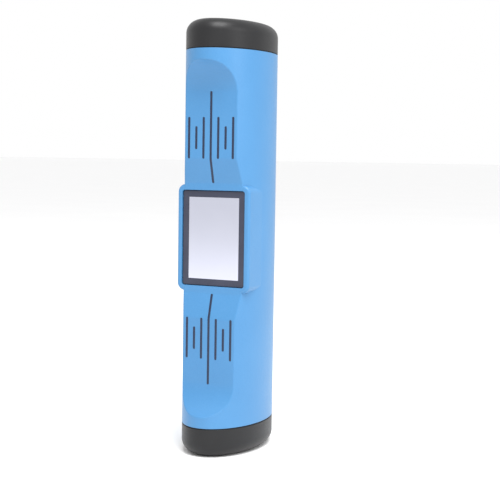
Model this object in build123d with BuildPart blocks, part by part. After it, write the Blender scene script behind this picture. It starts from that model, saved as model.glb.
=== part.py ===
from build123d import *
import os
import math

os.makedirs("parts", exist_ok=True)

# Reflector unit of a pulley alignment tool. Millimetres, +Z up.
# It stands on its lower cap. The mirror and the scales face -Y, the magnetic foot faces -X.
# The origin is the centre of the bounding box, at the bottom.

# ---------------------------------------------------------------- driving dimensions
overall_height = 169.0          # Z
overall_depth = 51.0            # Y
overall_width = 37.0            # X, from the contact face of the foot to the outboard side

oval_a = 15.9                   # half width of the oval section, X
oval_b = overall_depth / 2      # half depth of the oval section, Y
x_axis = overall_width / 2 - oval_a      # axis of the oval section
x_face = -overall_width / 2              # contact face of the magnetic foot
zc = overall_height / 2                  # height of the mirror's centre

body_half = 72.9                # half length of the housing
gasket_t = 0.4
gasket_inset = 0.35
wall = 3.6

# front of the housing, as depths (Y) and distances above and below the mirror's centre (Z)
y_platform = -15.5              # face that surrounds the mirror
y_plateau = -18.1               # flat face that carries the scale
ramp_in = 21.5                  # the ramp starts here, at the platform
ramp_out = 31.0                 # and ends here, at the plateau
plateau_out = 56.0              # the plateau ends here
scoop_r = 14.4                  # radius of the scoop that rises from the plateau to the oval front

# platform round the mirror
platform_half_w = 15.7
platform_half_h = 20.95
platform_corner = 3.0
platform_edge = 1.1

# mirror, its frame and its pocket
mirror_seen_w, mirror_seen_h = 22.0, 32.0
mirror_w, mirror_h, mirror_t = 24.4, 34.4, 2.0
y_mirror = -14.72
bezel_w, bezel_h = 26.9, 37.2
bezel_lip = 0.28
bezel_corner = 0.9
pocket_gap = 0.15
pad_t = 0.8

# scale
line_pitch = 3.17
line_w = 0.95
long_in, long_out = 31.0, 47.1
short_in, short_out = 34.6, 43.5
centre_in, centre_out = 21.6, 57.0
groove_depth = 0.40
fill_sunk = 0.08

# end caps
cap_round = 5.0
cap_wall = 3.0
spigot_depth = 3.0
spigot_gap = 0.15
spigot_t = 1.7
screw_y = 14.0                  # the cap screws are on the long axis of the oval
boss_r = 3.6
boss_depth = 11.0
m3_r = 1.45                     # screw shank
m3_hole_r = 1.5                 # threaded hole
m3_clear_r = 1.7
m3_head_r = 2.85
m3_socket = 1.15                # half of the 2 mm hexagon socket, corner to corner
cap_screw_len = 20.0
screw_sunk = 0.25

# magnetic foot
foot_half_len = 62.0
foot_y0, foot_y1 = 1.2, 22.2    # contact face, along Y
foot_corner = 8.0
foot_edge = 1.4
magnet_y = (foot_y0 + foot_y1) / 2
magnet_step = 42.0              # distance between magnets, Z
magnet_z = (zc + magnet_step, zc, zc - magnet_step)
cup_r, cup_h, cup_wall, cup_base = 8.0, 5.0, 1.4, 1.2
ring_gap = 0.2
ring_hole_r = 1.75
magnet_screw_len = 8.0
magnet_sunk = 0.15              # the magnets sit a little below the contact face

# derived
cap_z0 = body_half + gasket_t
y_bezel = y_mirror - bezel_lip
pocket_floor = y_mirror + mirror_t + pad_t
inner_a, inner_b = oval_a - wall, oval_b - wall
scoop_cy = y_plateau - scoop_r
y_out = -27.5
scoop_z = plateau_out + math.sqrt(scoop_r**2 - (y_out - scoop_cy) ** 2)


# ---------------------------------------------------------------- space in front of the recessed front
# Side view of what is cut away in front of the platform, the ramps, the plateaus and the scoops.
with BuildPart() as front_space:
    with BuildSketch(Plane.YZ) as front_profile:
        with BuildLine():
            upper = Polyline(
                (-45, zc + scoop_z),
                (y_out, zc + scoop_z),
            )
            s_mid = math.radians(38)
            ThreePointArc(
                (y_out, zc + scoop_z),
                (scoop_cy + scoop_r * math.cos(s_mid), zc + plateau_out + scoop_r * math.sin(s_mid)),
                (y_plateau, zc + plateau_out),
            )
            Polyline(
                (y_plateau, zc + plateau_out),
                (y_plateau, zc + ramp_out),
                (y_platform, zc + ramp_in),
                (y_platform, zc - ramp_in),
                (y_plateau, zc - ramp_out),
                (y_plateau, zc - plateau_out),
            )
            ThreePointArc(
                (y_plateau, zc - plateau_out),
                (scoop_cy + scoop_r * math.cos(s_mid), zc - plateau_out - scoop_r * math.sin(s_mid)),
                (y_out, zc - scoop_z),
            )
            Polyline((y_out, zc - scoop_z), (-45, zc - scoop_z), (-45, zc + scoop_z))
        make_face()
        bends_out = front_profile.vertices().filter_by(
            lambda v: abs(abs(v.Z - zc) - ramp_out) < 0.1 or abs(abs(v.Y - zc) - ramp_out) < 0.1
        )
        fillet(bends_out, 5.0)
        bends_in = front_profile.vertices().filter_by(
            lambda v: abs(abs(v.Z - zc) - ramp_in) < 0.1 or abs(abs(v.Y - zc) - ramp_in) < 0.1
        )
        fillet(bends_in, 3.0)
    extrude(amount=40, both=True)

# ---------------------------------------------------------------- space inside the housing
with BuildPart() as cavity:
    with BuildSketch(Plane.XY.offset(zc - body_half - 2)):
        with Locations((x_axis, 0)):
            Ellipse(inner_a, inner_b)
    extrude(amount=2 * body_half + 4)
    # the front wall follows the ramps, plateaus and scoops
    with BuildSketch(Plane.YZ):
        add(front_profile.sketch_local)
        offset(amount=wall, kind=Kind.INTERSECTION)
    extrude(amount=40, both=True, mode=Mode.SUBTRACT)
    # wall behind the mirror pocket
    with BuildSketch(Plane.XZ.offset(25)):
        with Locations((x_axis, zc)):
            Rectangle(60, 2 * (platform_half_h + 1.5))
    extrude(amount=-(25 + pocket_floor + 2.6), mode=Mode.SUBTRACT)
    # screw bosses and their ribs, at both ends
    for end in (-1, 1):
        for side in (-1, 1):
            with BuildSketch(Plane.XY.offset(zc + end * (body_half + 2))):
                with Locations((x_axis, side * screw_y)):
                    Circle(boss_r)
                with Locations((x_axis, side * (screw_y + 6))):
                    Rectangle(3.0, 12)
            extrude(amount=-end * (boss_depth + 2), mode=Mode.SUBTRACT)

# ---------------------------------------------------------------- grooves of the scale lines
long_len, short_len, centre_len = long_out - long_in, short_out - short_in, centre_out - centre_in
with BuildPart() as line_grooves:
    for side in (-1, 1):
        with BuildSketch(Plane.XZ.offset(30)):
            with Locations([(x_axis + k * line_pitch, zc + side * (long_in + long_out) / 2) for k in (-3, -1, 1, 3)]):
                SlotOverall(long_len, line_w, rotation=90)
            with Locations([(x_axis + k * line_pitch, zc + side * (short_in + short_out) / 2) for k in (-2, 2)]):
                SlotOverall(short_len, line_w, rotation=90)
            with Locations((x_axis, zc + side * (centre_in + centre_out) / 2)):
                SlotOverall(centre_len, line_w, rotation=90)
        extrude(amount=-20)
    add(front_space.part.moved(Location((0, groove_depth, 0))), mode=Mode.INTERSECT)

# ---------------------------------------------------------------- magnetic foot, a pad with sloping flanks
with BuildPart() as foot:
    with BuildSketch(Plane.XY.offset(zc - foot_half_len)):
        with BuildLine():
            Polyline(
                (x_axis - 9, -9.5),
                (-12.3, -6.5),
                (x_face, foot_y0),
                (x_face, foot_y1),
                (-4.2, foot_y1 + 1.1),
                (x_axis - 4, 10),
                close=True,
            )
        make_face()
    extrude(amount=2 * foot_half_len)
    # rounded outline, seen from the machine
    with BuildSketch(Plane.YZ):
        with Locations(((foot_y1 - 9.5) / 2, zc)):
            RectangleRounded(foot_y1 + 9.5, 2 * foot_half_len, foot_corner)
    extrude(amount=40, both=True, mode=Mode.INTERSECT)
    contact = foot.faces().sort_by(Axis.X)[0]
    fillet(contact.edges(), foot_edge)

# ---------------------------------------------------------------- mirror platform
with BuildPart() as platform:
    with BuildSketch(Plane.XZ.offset(-y_platform)):
        with Locations((x_axis, zc)):
            RectangleRounded(2 * platform_half_w, 2 * platform_half_h, platform_corner)
    extrude(amount=-14)
    fillet(platform.faces().sort_by(Axis.Y)[0].edges(), platform_edge)

# ---------------------------------------------------------------- housing
with BuildPart() as housing:
    # oval shell
    with BuildSketch(Plane.XY.offset(zc - body_half)):
        with Locations((x_axis, 0)):
            Ellipse(oval_a, oval_b)
    extrude(amount=2 * body_half)
    # recessed front, with its edges eased
    add(front_space.part, mode=Mode.SUBTRACT)
    fillet(housing.edges().filter_by(GeomType.BSPLINE), 0.5)
    add(foot.part)
    add(platform.part)
    # inside
    add(cavity.part, mode=Mode.SUBTRACT)
    # mirror pocket
    with BuildSketch(Plane.XZ.offset(-y_platform)):
        with Locations((x_axis, zc)):
            RectangleRounded(bezel_w + 2 * pocket_gap, bezel_h + 2 * pocket_gap, bezel_corner + pocket_gap)
    extrude(amount=-(pocket_floor - y_platform), mode=Mode.SUBTRACT)
    # scale grooves
    add(line_grooves.part, mode=Mode.SUBTRACT)
    # magnet pockets with their threaded holes
    with BuildSketch(Plane(origin=(x_face, 0, 0), x_dir=(0, 1, 0), z_dir=(-1, 0, 0))):
        with Locations([(magnet_y, -z) for z in magnet_z]):
            Circle(cup_r + 0.15)
    extrude(amount=-(cup_h + magnet_sunk), mode=Mode.SUBTRACT)
    with BuildSketch(Plane(origin=(x_face + cup_h + magnet_sunk, 0, 0), x_dir=(0, 1, 0), z_dir=(-1, 0, 0))):
        with Locations([(magnet_y, -z) for z in magnet_z]):
            Circle(m3_hole_r)
    extrude(amount=-4.0, mode=Mode.SUBTRACT)
    # threaded holes for the cap screws
    for end in (-1, 1):
        with BuildSketch(Plane.XY.offset(zc + end * body_half)):
            with Locations((x_axis, -screw_y), (x_axis, screw_y)):
                Circle(m3_hole_r)
        extrude(amount=-end * 9.2, mode=Mode.SUBTRACT)
housing.part.label = "housing"
export_step(housing.part, "parts/housing.step")

# ---------------------------------------------------------------- filled scale lines
with BuildPart() as scale_lines_upper:
    with BuildSketch(Plane.XZ.offset(30)):
        with Locations([(x_axis + k * line_pitch, zc + (long_in + long_out) / 2) for k in (-3, -1, 1, 3)]):
            SlotOverall(long_len, line_w, rotation=90)
        with Locations([(x_axis + k * line_pitch, zc + (short_in + short_out) / 2) for k in (-2, 2)]):
            SlotOverall(short_len, line_w, rotation=90)
    extrude(amount=-20)
    add(front_space.part.moved(Location((0, groove_depth, 0))), mode=Mode.INTERSECT)
    add(front_space.part.moved(Location((0, fill_sunk, 0))), mode=Mode.SUBTRACT)
scale_lines_upper.part.label = "scale_lines_upper"
export_step(scale_lines_upper.part, "parts/scale_lines_upper.step")

with BuildPart() as scale_lines_lower:
    with BuildSketch(Plane.XZ.offset(30)):
        with Locations([(x_axis + k * line_pitch, zc - (long_in + long_out) / 2) for k in (-3, -1, 1, 3)]):
            SlotOverall(long_len, line_w, rotation=90)
        with Locations([(x_axis + k * line_pitch, zc - (short_in + short_out) / 2) for k in (-2, 2)]):
            SlotOverall(short_len, line_w, rotation=90)
    extrude(amount=-20)
    add(front_space.part.moved(Location((0, groove_depth, 0))), mode=Mode.INTERSECT)
    add(front_space.part.moved(Location((0, fill_sunk, 0))), mode=Mode.SUBTRACT)
scale_lines_lower.part.label = "scale_lines_lower"
export_step(scale_lines_lower.part, "parts/scale_lines_lower.step")

with BuildPart() as centre_line_upper:
    with BuildSketch(Plane.XZ.offset(30)):
        with Locations((x_axis, zc + (centre_in + centre_out) / 2)):
            SlotOverall(centre_len, line_w, rotation=90)
    extrude(amount=-20)
    add(front_space.part.moved(Location((0, groove_depth, 0))), mode=Mode.INTERSECT)
    add(front_space.part.moved(Location((0, fill_sunk, 0))), mode=Mode.SUBTRACT)
centre_line_upper.part.label = "centre_line_upper"
export_step(centre_line_upper.part, "parts/centre_line_upper.step")

with BuildPart() as centre_line_lower:
    with BuildSketch(Plane.XZ.offset(30)):
        with Locations((x_axis, zc - (centre_in + centre_out) / 2)):
            SlotOverall(centre_len, line_w, rotation=90)
    extrude(amount=-20)
    add(front_space.part.moved(Location((0, groove_depth, 0))), mode=Mode.INTERSECT)
    add(front_space.part.moved(Location((0, fill_sunk, 0))), mode=Mode.SUBTRACT)
centre_line_lower.part.label = "centre_line_lower"
export_step(centre_line_lower.part, "parts/centre_line_lower.step")

# ---------------------------------------------------------------- mirror: frame, glass, adhesive pad
with BuildPart() as mirror_bezel:
    with BuildSketch(Plane.XZ.offset(-y_bezel)):
        with Locations((x_axis, zc)):
            RectangleRounded(bezel_w, bezel_h, bezel_corner)
    extrude(amount=-(pocket_floor - y_bezel))
    fillet(mirror_bezel.faces().sort_by(Axis.Y)[0].edges(), 0.25)
    # window
    with BuildSketch(Plane.XZ.offset(-y_bezel)):
        with Locations((x_axis, zc)):
            Rectangle(mirror_seen_w, mirror_seen_h)
    extrude(amount=-(pocket_floor - y_bezel), mode=Mode.SUBTRACT)
    # seat of the glass
    with BuildSketch(Plane.XZ.offset(-y_mirror)):
        with Locations((x_axis, zc)):
            Rectangle(mirror_w + 0.2, mirror_h + 0.2)
    extrude(amount=-(pocket_floor - y_mirror), mode=Mode.SUBTRACT)
mirror_bezel.part.label = "mirror_bezel"
export_step(mirror_bezel.part, "parts/mirror_bezel.step")

with BuildPart() as mirror_glass:
    with BuildSketch(Plane.XZ.offset(-y_mirror)):
        with Locations((x_axis, zc)):
            Rectangle(mirror_w, mirror_h)
    extrude(amount=-mirror_t)
    chamfer(mirror_glass.edges(), 0.15)
mirror_glass.part.label = "mirror_glass"
export_step(mirror_glass.part, "parts/mirror_glass.step")

with BuildPart() as mirror_pad:
    with BuildSketch(Plane.XZ.offset(-(y_mirror + mirror_t))):
        with Locations((x_axis, zc)):
            Rectangle(mirror_w - 1.6, mirror_h - 1.6)
    extrude(amount=-pad_t)
mirror_pad.part.label = "mirror_pad"
export_step(mirror_pad.part, "parts/mirror_pad.step")

# ---------------------------------------------------------------- end caps
# One moulding, used at both ends: rounded rim, hollow inside, two screw pillars, spigot in two arcs.
spigot_a, spigot_b = inner_a - spigot_gap, inner_b - spigot_gap
with BuildPart() as end_cap_top:
    with BuildSketch(Plane.XY.offset(zc + cap_z0)):
        with Locations((x_axis, 0)):
            Ellipse(oval_a, oval_b)
    extrude(amount=overall_height / 2 - cap_z0)
    fillet(end_cap_top.faces().sort_by(Axis.Z)[-1].edges(), cap_round)
    # spigot
    with BuildSketch(Plane.XY.offset(zc + cap_z0 - spigot_depth)):
        with Locations((x_axis, 0)):
            Ellipse(spigot_a, spigot_b)
            Rectangle(2 * (boss_r + 0.6), 2 * oval_b, mode=Mode.SUBTRACT)
    extrude(amount=spigot_depth)
    # hollow, which leaves the screw pillars
    with BuildSketch(Plane.XY.offset(zc + cap_z0 - spigot_depth)):
        with Locations((x_axis, 0)):
            Ellipse(spigot_a - spigot_t, spigot_b - spigot_t)
        with Locations((x_axis, -screw_y), (x_axis, screw_y)):
            Circle(boss_r, mode=Mode.SUBTRACT)
    extrude(amount=overall_height / 2 - cap_wall - cap_z0 + spigot_depth, mode=Mode.SUBTRACT)
    # pillars end on the bosses of the housing
    with BuildSketch(Plane.XY.offset(zc + cap_z0)):
        with Locations((x_axis, -screw_y), (x_axis, screw_y)):
            Circle(boss_r)
    extrude(amount=-(gasket_t - 0.05))
    # screw holes, countersunk from outside
    with Locations((x_axis, -screw_y, overall_height), (x_axis, screw_y, overall_height)):
        CounterSinkHole(radius=m3_clear_r, counter_sink_radius=m3_head_r + screw_sunk + 0.35, depth=20, counter_sink_angle=90)
end_cap_top.part.label = "end_cap_top"
export_step(end_cap_top.part, "parts/end_cap_top.step")

with BuildPart() as end_cap_bottom:
    add(end_cap_top.part)
    mirror(about=Plane.XY.offset(zc), mode=Mode.REPLACE)
end_cap_bottom.part.label = "end_cap_bottom"
export_step(end_cap_bottom.part, "parts/end_cap_bottom.step")

# ---------------------------------------------------------------- gaskets under the cap rims
with BuildPart() as gasket_top:
    with BuildSketch(Plane.XY.offset(zc + body_half)):
        with Locations((x_axis, 0)):
            Ellipse(oval_a - gasket_inset, oval_b - gasket_inset)
            Ellipse(inner_a + 0.1, inner_b + 0.1, mode=Mode.SUBTRACT)
    extrude(amount=gasket_t)
gasket_top.part.label = "gasket_top"
export_step(gasket_top.part, "parts/gasket_top.step")

with BuildPart() as gasket_bottom:
    with BuildSketch(Plane.XY.offset(zc - body_half)):
        with Locations((x_axis, 0)):
            Ellipse(oval_a - gasket_inset, oval_b - gasket_inset)
            Ellipse(inner_a + 0.1, inner_b + 0.1, mode=Mode.SUBTRACT)
    extrude(amount=-gasket_t)
gasket_bottom.part.label = "gasket_bottom"
export_step(gasket_bottom.part, "parts/gasket_bottom.step")

# ---------------------------------------------------------------- cap screws, M3 countersunk with a hexagon socket
screw_z = overall_height - screw_sunk
with BuildPart() as cap_screws_top:
    for side in (-1, 1):
        with BuildSketch(Plane.XZ.offset(-side * screw_y)):
            with BuildLine():
                Polyline(
                    (x_axis, screw_z),
                    (x_axis + m3_head_r, screw_z),
                    (x_axis + m3_head_r, screw_z - 0.25),
                    (x_axis + m3_r, screw_z - 0.25 - (m3_head_r - m3_r)),
                    (x_axis + m3_r, screw_z - cap_screw_len + 0.5),
                    (x_axis + m3_r - 0.5, screw_z - cap_screw_len),
                    (x_axis, screw_z - cap_screw_len),
                    close=True,
                )
            make_face()
        revolve(axis=Axis((x_axis, side * screw_y, 0), (0, 0, 1)))
    with BuildSketch(Plane.XY.offset(screw_z)):
        with Locations((x_axis, -screw_y), (x_axis, screw_y)):
            RegularPolygon(m3_socket, 6)
    extrude(amount=-1.2, mode=Mode.SUBTRACT)
cap_screws_top.part.label = "cap_screws_top"
export_step(cap_screws_top.part, "parts/cap_screws_top.step")

with BuildPart() as cap_screws_bottom:
    add(cap_screws_top.part)
    mirror(about=Plane.XY.offset(zc), mode=Mode.REPLACE)
cap_screws_bottom.part.label = "cap_screws_bottom"
export_step(cap_screws_bottom.part, "parts/cap_screws_bottom.step")

# ---------------------------------------------------------------- holding magnets: steel cup, magnet ring, countersunk screw
x_cup = x_face + magnet_sunk
with BuildPart() as magnet_cup_middle:
    with BuildSketch(Plane.YZ.offset(x_cup)):
        with Locations((magnet_y, zc)):
            Circle(cup_r)
    extrude(amount=cup_h)
    chamfer(magnet_cup_middle.edges(), 0.3)
    with BuildSketch(Plane.YZ.offset(x_cup)):
        with Locations((magnet_y, zc)):
            Circle(cup_r - cup_wall)
    extrude(amount=cup_h - cup_base, mode=Mode.SUBTRACT)
    with BuildSketch(Plane.YZ.offset(x_cup)):
        with Locations((magnet_y, zc)):
            Circle(m3_clear_r)
    extrude(amount=cup_h, mode=Mode.SUBTRACT)
magnet_cup_middle.part.label = "magnet_cup_middle"
export_step(magnet_cup_middle.part, "parts/magnet_cup_middle.step")

ring_t = cup_h - cup_base - 0.2
x_ring = x_cup + 0.2
with BuildPart() as magnet_ring_middle:
    with BuildSketch(Plane.YZ.offset(x_ring)):
        with Locations((magnet_y, zc)):
            Circle(cup_r - cup_wall - ring_gap)
    extrude(amount=ring_t)
    chamfer(magnet_ring_middle.edges(), 0.2)
    # countersunk hole
    with BuildSketch(Plane.XZ.offset(-magnet_y)):
        with BuildLine():
            Polyline(
                (x_ring - 0.1, zc),
                (x_ring - 0.1, zc + m3_head_r + 0.45),
                (x_ring + m3_head_r + 0.35 - ring_hole_r, zc + ring_hole_r),
                (x_ring + ring_t + 0.1, zc + ring_hole_r),
                (x_ring + ring_t + 0.1, zc),
                close=True,
            )
        make_face()
    revolve(axis=Axis((0, magnet_y, zc), (1, 0, 0)), mode=Mode.SUBTRACT)
magnet_ring_middle.part.label = "magnet_ring_middle"
export_step(magnet_ring_middle.part, "parts/magnet_ring_middle.step")

x_screw = x_ring + 0.15
with BuildPart() as magnet_screw_middle:
    with BuildSketch(Plane.XZ.offset(-magnet_y)):
        with BuildLine():
            Polyline(
                (x_screw, zc),
                (x_screw, zc + m3_head_r),
                (x_screw + 0.2, zc + m3_head_r),
                (x_screw + 0.2 + m3_head_r - m3_r, zc + m3_r),
                (x_screw + magnet_screw_len - 0.4, zc + m3_r),
                (x_screw + magnet_screw_len, zc + m3_r - 0.4),
                (x_screw + magnet_screw_len, zc),
                close=True,
            )
        make_face()
    revolve(axis=Axis((0, magnet_y, zc), (1, 0, 0)))
    with BuildSketch(Plane.YZ.offset(x_screw)):
        with Locations((magnet_y, zc)):
            RegularPolygon(m3_socket, 6)
    extrude(amount=1.2, mode=Mode.SUBTRACT)
magnet_screw_middle.part.label = "magnet_screw_middle"
export_step(magnet_screw_middle.part, "parts/magnet_screw_middle.step")

with BuildPart() as magnet_cup_upper:
    add(magnet_cup_middle.part.moved(Location((0, 0, magnet_step))))
magnet_cup_upper.part.label = "magnet_cup_upper"
export_step(magnet_cup_upper.part, "parts/magnet_cup_upper.step")

with BuildPart() as magnet_cup_lower:
    add(magnet_cup_middle.part.moved(Location((0, 0, -magnet_step))))
magnet_cup_lower.part.label = "magnet_cup_lower"
export_step(magnet_cup_lower.part, "parts/magnet_cup_lower.step")

with BuildPart() as magnet_ring_upper:
    add(magnet_ring_middle.part.moved(Location((0, 0, magnet_step))))
magnet_ring_upper.part.label = "magnet_ring_upper"
export_step(magnet_ring_upper.part, "parts/magnet_ring_upper.step")

with BuildPart() as magnet_ring_lower:
    add(magnet_ring_middle.part.moved(Location((0, 0, -magnet_step))))
magnet_ring_lower.part.label = "magnet_ring_lower"
export_step(magnet_ring_lower.part, "parts/magnet_ring_lower.step")

with BuildPart() as magnet_screw_upper:
    add(magnet_screw_middle.part.moved(Location((0, 0, magnet_step))))
magnet_screw_upper.part.label = "magnet_screw_upper"
export_step(magnet_screw_upper.part, "parts/magnet_screw_upper.step")

with BuildPart() as magnet_screw_lower:
    add(magnet_screw_middle.part.moved(Location((0, 0, -magnet_step))))
magnet_screw_lower.part.label = "magnet_screw_lower"
export_step(magnet_screw_lower.part, "parts/magnet_screw_lower.step")
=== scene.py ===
import bpy
from mathutils import Matrix, Vector

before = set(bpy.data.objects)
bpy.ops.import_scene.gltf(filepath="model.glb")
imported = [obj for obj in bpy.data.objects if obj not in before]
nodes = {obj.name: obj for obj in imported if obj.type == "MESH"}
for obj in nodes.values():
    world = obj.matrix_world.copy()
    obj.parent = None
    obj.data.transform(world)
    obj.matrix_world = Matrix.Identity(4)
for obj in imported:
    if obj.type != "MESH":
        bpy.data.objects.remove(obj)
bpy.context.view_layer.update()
scene = bpy.context.scene


# ---------------------------------------------------------------- node helpers
# Object coordinates are the row frame in metres, so a texture scale of 1000 repeats about every millimetre.
class Mat:
    def __init__(self, name, color, rough, metallic=0.0, **sockets):
        self.m = bpy.data.materials.new(name)
        self.m.use_nodes = True
        self.t = self.m.node_tree
        self.t.nodes.clear()
        self.out = self.t.nodes.new("ShaderNodeOutputMaterial")
        self.b = self.t.nodes.new("ShaderNodeBsdfPrincipled")
        self.t.links.new(self.b.outputs["BSDF"], self.out.inputs["Surface"])
        self.b.inputs["Base Color"].default_value = (*color, 1)
        self.b.inputs["Roughness"].default_value = rough
        self.b.inputs["Metallic"].default_value = metallic
        for k, v in sockets.items():
            self.b.inputs[k.replace("_", " ")].default_value = v
        self.co = self.t.nodes.new("ShaderNodeTexCoord").outputs["Object"]
        self.normal = None

    def link(self, a, b):
        self.t.links.new(a, b)

    def mapped(self, scale):
        n = self.t.nodes.new("ShaderNodeMapping")
        n.inputs["Scale"].default_value = scale
        self.link(self.co, n.inputs["Vector"])
        return n.outputs["Vector"]

    def noise(self, scale, detail=2.0, rough=0.5, vector=None):
        n = self.t.nodes.new("ShaderNodeTexNoise")
        n.inputs["Scale"].default_value = scale
        n.inputs["Detail"].default_value = detail
        n.inputs["Roughness"].default_value = rough
        self.link(vector or self.co, n.inputs["Vector"])
        return n.outputs["Fac"]

    def voronoi(self, scale, vector=None):
        n = self.t.nodes.new("ShaderNodeTexVoronoi")
        n.feature = "SMOOTH_F1"
        n.inputs["Scale"].default_value = scale
        n.inputs["Smoothness"].default_value = 0.6
        self.link(vector or self.co, n.inputs["Vector"])
        return n.outputs["Distance"]

    def remap(self, value, lo, hi, to_lo, to_hi):
        n = self.t.nodes.new("ShaderNodeMapRange")
        n.inputs["From Min"].default_value = lo
        n.inputs["From Max"].default_value = hi
        n.inputs["To Min"].default_value = to_lo
        n.inputs["To Max"].default_value = to_hi
        self.link(value, n.inputs["Value"])
        return n.outputs["Result"]

    def colors(self, value, stops):
        n = self.t.nodes.new("ShaderNodeValToRGB")
        e = n.color_ramp.elements
        e[0].position, e[0].color = stops[0][0], (*stops[0][1], 1)
        e[1].position, e[1].color = stops[-1][0], (*stops[-1][1], 1)
        for p, c in stops[1:-1]:
            x = e.new(p)
            x.color = (*c, 1)
        self.link(value, n.inputs["Fac"])
        return n.outputs["Color"]

    def mix(self, fac, a, b, kind="MIX"):
        n = self.t.nodes.new("ShaderNodeMix")
        n.data_type = "RGBA"
        n.blend_type = kind
        if isinstance(fac, (int, float)):
            n.inputs[0].default_value = fac
        else:
            self.link(fac, n.inputs[0])
        for s, v in ((n.inputs[6], a), (n.inputs[7], b)):
            if isinstance(v, tuple):
                s.default_value = (*v, 1)
            else:
                self.link(v, s)
        return n.outputs[2]

    def math(self, op, a, b):
        n = self.t.nodes.new("ShaderNodeMath")
        n.operation = op
        for s, v in ((n.inputs[0], a), (n.inputs[1], b)):
            if isinstance(v, (int, float)):
                s.default_value = v
            else:
                self.link(v, s)
        return n.outputs[0]

    def bump(self, height, strength, distance):
        n = self.t.nodes.new("ShaderNodeBump")
        n.inputs["Strength"].default_value = strength
        n.inputs["Distance"].default_value = distance
        self.link(height, n.inputs["Height"])
        if self.normal is not None:
            self.link(self.normal, n.inputs["Normal"])
        self.normal = n.outputs["Normal"]
        self.link(self.normal, self.b.inputs["Normal"])

    def soft_edge(self, radius):
        n = self.t.nodes.new("ShaderNodeBevel")
        n.samples = 4
        n.inputs["Radius"].default_value = radius
        self.normal = n.outputs["Normal"]
        self.link(self.normal, self.b.inputs["Normal"])

    def axis(self, name):
        n = self.t.nodes.new("ShaderNodeSeparateXYZ")
        self.link(self.co, n.inputs["Vector"])
        return n.outputs[name]


def powder_coat():
    m = Mat("powder_coat_blue", (0.06, 0.27, 0.58), 0.42, Coat_Weight=0.12, Coat_Roughness=0.30)
    m.soft_edge(0.00035)
    # slight unevenness of the coat, and fine mottling
    broad = m.noise(28, 3)
    fine = m.noise(1500, 3, 0.6)
    tone = m.colors(broad, [(0.30, (0.042, 0.188, 0.400)), (0.70, (0.054, 0.212, 0.435))])
    tone = m.mix(m.remap(fine, 0.35, 0.65, 0.0, 0.22), tone, (0.070, 0.240, 0.470))
    # bare machined contact face of the foot
    bare = m.remap(m.axis("X"), -0.01846, -0.01840, 1.0, 0.0)
    milled = m.noise(420, 4, 0.6, m.mapped((1, 6, 0.12)))
    metal = m.colors(milled, [(0.30, (0.46, 0.47, 0.48)), (0.70, (0.66, 0.67, 0.68))])
    m.link(m.mix(bare, tone, metal), m.b.inputs["Base Color"])
    m.link(bare, m.b.inputs["Metallic"])
    rough = m.math("ADD", m.remap(fine, 0.3, 0.7, 0.37, 0.50), m.math("MULTIPLY", bare, -0.12))
    m.link(rough, m.b.inputs["Roughness"])
    # orange peel and fine grain
    m.bump(m.voronoi(1150), 0.22, 0.00006)
    m.bump(fine, 0.30, 0.00004)
    return m.m


def cap_plastic():
    m = Mat("cap_charcoal", (0.020, 0.020, 0.022), 0.42, Specular_IOR_Level=0.34)
    m.soft_edge(0.0003)
    grain = m.noise(2300, 3, 0.6)
    m.link(m.colors(m.noise(60, 3), [(0.3, (0.007, 0.007, 0.008)), (0.7, (0.012, 0.012, 0.013))]), m.b.inputs["Base Color"])
    m.link(m.remap(grain, 0.3, 0.7, 0.34, 0.50), m.b.inputs["Roughness"])
    m.bump(grain, 0.35, 0.00005)
    return m.m


def bezel_plastic():
    m = Mat("bezel_plum_grey", (0.060, 0.054, 0.082), 0.38)
    m.soft_edge(0.00025)
    grain = m.noise(3200, 2)
    m.link(m.colors(m.noise(120, 2), [(0.3, (0.020, 0.024, 0.046)), (0.7, (0.030, 0.034, 0.060))]), m.b.inputs["Base Color"])
    m.link(m.remap(grain, 0.3, 0.7, 0.32, 0.46), m.b.inputs["Roughness"])
    m.bump(grain, 0.20, 0.00003)
    return m.m


def mirror_coat():
    m = Mat("mirror_silvered", (0.74, 0.76, 0.87), 0.04, 1.0)
    haze = m.noise(55, 4, 0.6)
    m.link(m.remap(haze, 0.35, 0.75, 0.03, 0.09), m.b.inputs["Roughness"])
    m.link(m.colors(haze, [(0.3, (0.650, 0.665, 0.775)), (0.8, (0.670, 0.684, 0.790))]), m.b.inputs["Base Color"])
    return m.m


def line_fill():
    m = Mat("line_fill_navy", (0.006, 0.014, 0.045), 0.45)
    grain = m.noise(2600, 2)
    m.link(m.colors(grain, [(0.3, (0.004, 0.010, 0.035)), (0.7, (0.009, 0.019, 0.056))]), m.b.inputs["Base Color"])
    m.bump(grain, 0.25, 0.00003)
    return m.m


def rubber(name, color):
    m = Mat(name, color, 0.75)
    grain = m.noise(2800, 2)
    m.link(m.remap(grain, 0.3, 0.7, 0.68, 0.85), m.b.inputs["Roughness"])
    m.bump(grain, 0.35, 0.00004)
    return m.m


def plated_steel(name, low, high, rough):
    # fine turning marks round each piece, and a little tarnish
    m = Mat(name, high, rough, 1.0)
    marks = m.noise(900, 4, 0.65)
    m.link(m.colors(m.noise(240, 3), [(0.3, low), (0.7, high)]), m.b.inputs["Base Color"])
    m.link(m.remap(marks, 0.3, 0.7, rough - 0.06, rough + 0.10), m.b.inputs["Roughness"])
    m.bump(marks, 0.15, 0.00003)
    return m.m


def sintered():
    m = Mat("magnet_sintered", (0.11, 0.11, 0.12), 0.55, 0.85)
    grain = m.voronoi(2400)
    m.link(m.colors(m.noise(500, 4), [(0.3, (0.08, 0.08, 0.09)), (0.7, (0.15, 0.15, 0.16))]), m.b.inputs["Base Color"])
    m.bump(grain, 0.30, 0.00004)
    return m.m


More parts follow.
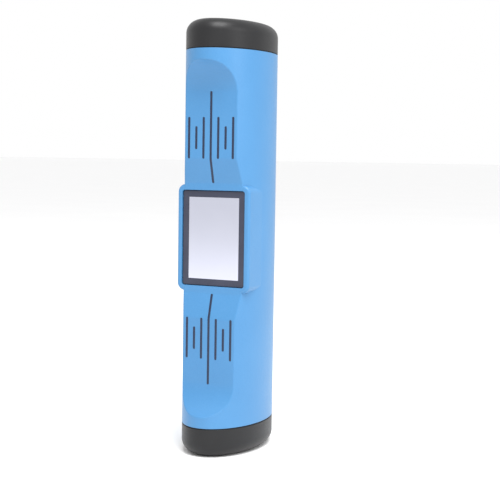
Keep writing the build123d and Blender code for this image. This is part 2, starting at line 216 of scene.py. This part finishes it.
paint, cap, bezel, glass, fill = powder_coat(), cap_plastic(), bezel_plastic(), mirror_coat(), line_fill()
gasket, pad = rubber("gasket_black", (0.012, 0.012, 0.013)), rubber("pad_grey", (0.06, 0.06, 0.065))
screw = plated_steel("screw_zinc", (0.30, 0.31, 0.33), (0.46, 0.47, 0.49), 0.32)
cup = plated_steel("cup_nickel", (0.52, 0.51, 0.49), (0.70, 0.69, 0.66), 0.24)
magnet = sintered()

look = {"housing": paint, "end_cap_": cap, "gasket_": gasket, "cap_screws_": screw, "magnet_screw_": screw,
        "magnet_cup_": cup, "magnet_ring_": magnet, "mirror_bezel": bezel, "mirror_glass": glass, "mirror_pad": pad,
        "scale_lines_": fill, "centre_line_": fill}
for name, obj in nodes.items():
    chosen = next(v for k, v in look.items() if name.startswith(k))
    if not obj.material_slots:
        obj.data.materials.append(chosen)
    for s in obj.material_slots:
        s.material = chosen


# ---------------------------------------------------------------- floor
bpy.ops.mesh.primitive_plane_add(size=80, location=(0, 0, 0))
floor = bpy.context.object
floor.name = "floor"
white = Mat("floor_white", (0.95, 0.95, 0.95), 0.85, Specular_IOR_Level=0.2)
white.link(white.colors(white.noise(6, 2), [(0.3, (0.94, 0.94, 0.943)), (0.7, (0.955, 0.955, 0.955))]), white.b.inputs["Base Color"])
floor.data.materials.append(white.m)


# ---------------------------------------------------------------- light
world = bpy.data.worlds.new("studio")
scene.world = world
world.use_nodes = True
world.node_tree.nodes["Background"].inputs["Color"].default_value = (1.0, 1.0, 1.0, 1)
world.node_tree.nodes["Background"].inputs["Strength"].default_value = 1.0
target = Vector((0.0026, 0, 0.085))


def area(name, where, size, watts, color=(1, 1, 1)):
    d = bpy.data.lights.new(name, "AREA")
    d.size, d.energy, d.color = size, watts, color
    o = bpy.data.objects.new(name, d)
    scene.collection.objects.link(o)
    o.location = where
    o.rotation_euler = (target - Vector(where)).to_track_quat("-Z", "Y").to_euler()


area("key_above", (0.30, -0.35, 0.85), 0.5, 9.0)
area("side_right", (0.80, -0.05, 0.40), 0.4, 1.5)


# ---------------------------------------------------------------- camera
cam_data = bpy.data.cameras.new("camera")
cam = bpy.data.objects.new("camera", cam_data)
scene.collection.objects.link(cam)
cam.matrix_world = Matrix((
    (0.90300, -0.04199, 0.42758, 0.210467),
    (0.42938, 0.05391, -0.90151, -0.419828),
    (0.01480, 0.99766, 0.06671, 0.116116),
    (0, 0, 0, 1),
))
cam_data.lens = 84.215
cam_data.sensor_width = 36
cam_data.shift_y = -0.028
scene.camera = cam
scene.view_settings.view_transform = "Standard"
